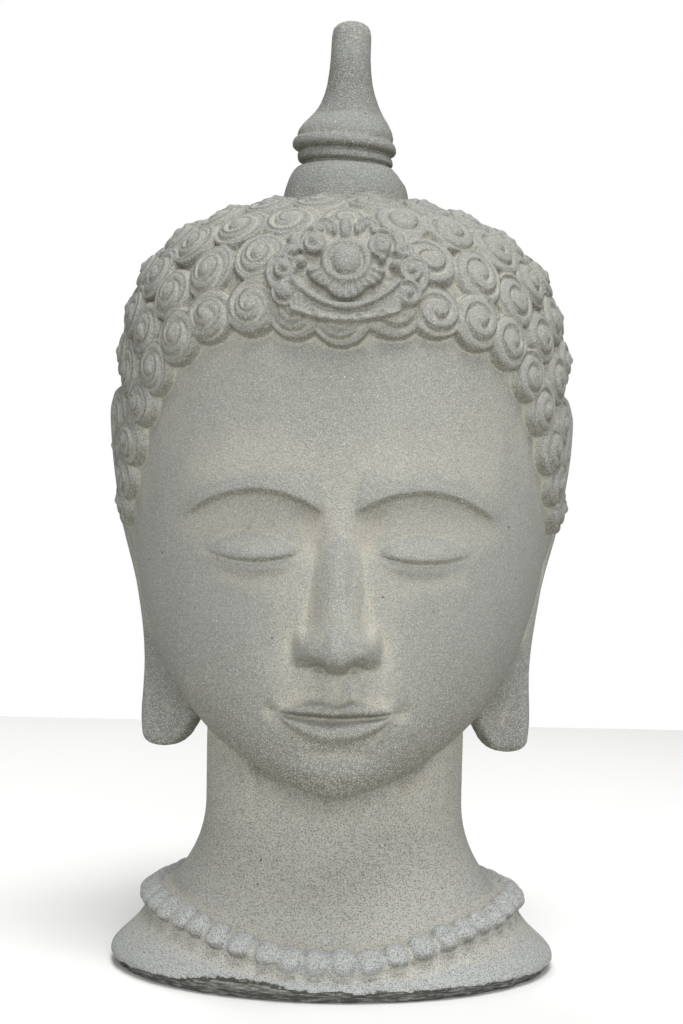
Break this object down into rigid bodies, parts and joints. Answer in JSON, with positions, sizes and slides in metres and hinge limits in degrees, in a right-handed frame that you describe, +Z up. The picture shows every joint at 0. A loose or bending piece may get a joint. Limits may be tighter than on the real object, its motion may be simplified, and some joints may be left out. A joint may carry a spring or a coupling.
{
  "type": "garden bust statue",
  "caption": "Cast stone garden bust of a serene head with snail-shell curls, bud finial, scrolled hair ornament, long ears and a flared neck with a beaded collar.",
  "frame": {"origin": "centre of the flat underside of the collar foot", "axes": "+Z up, the face looks along -Y, +X to the viewer's right"},
  "size_m": [0.3004, 0.3218, 0.6],
  "materials": {
    "cast_stone": "weathered sandy cast stone, matt, grey with beige dust in the recesses"
  },
  "bodies": {
    "root": {"bust": "cast_stone"}
  },
  "joints": []
}
